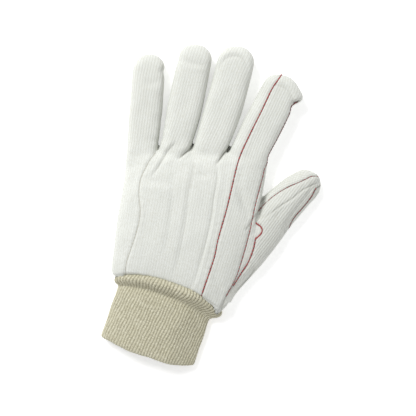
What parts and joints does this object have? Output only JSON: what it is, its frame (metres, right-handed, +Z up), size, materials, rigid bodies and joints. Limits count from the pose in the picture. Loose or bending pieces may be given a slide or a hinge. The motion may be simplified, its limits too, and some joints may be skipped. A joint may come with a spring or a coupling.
{
  "type": "cotton work glove",
  "caption": "Left-hand work glove of corded cotton with hollow fingers, sewn back, palm and thumb panels and a rib-knit wrist, lying palm down.",
  "frame": {"origin": "on the surface that the glove lies on, under the middle of its bounding box", "axes": "+Z up out of the back of the hand, +Y towards the fingertips, +X towards the thumb's side"},
  "size_m": [0.1794, 0.261, 0.026],
  "materials": {
    "cotton": "napped corded cotton, natural white",
    "knit": "rib-knit cotton, unbleached beige"
  },
  "bodies": {
    "root": {"palm_panel": "cotton", "little_side_panel": "cotton", "back_panel": "cotton", "index_side_panel": "cotton", "thumb_front_panel": "cotton", "thumb_back_panel": "cotton", "knit_wrist": "knit"}
  },
  "joints": []
}
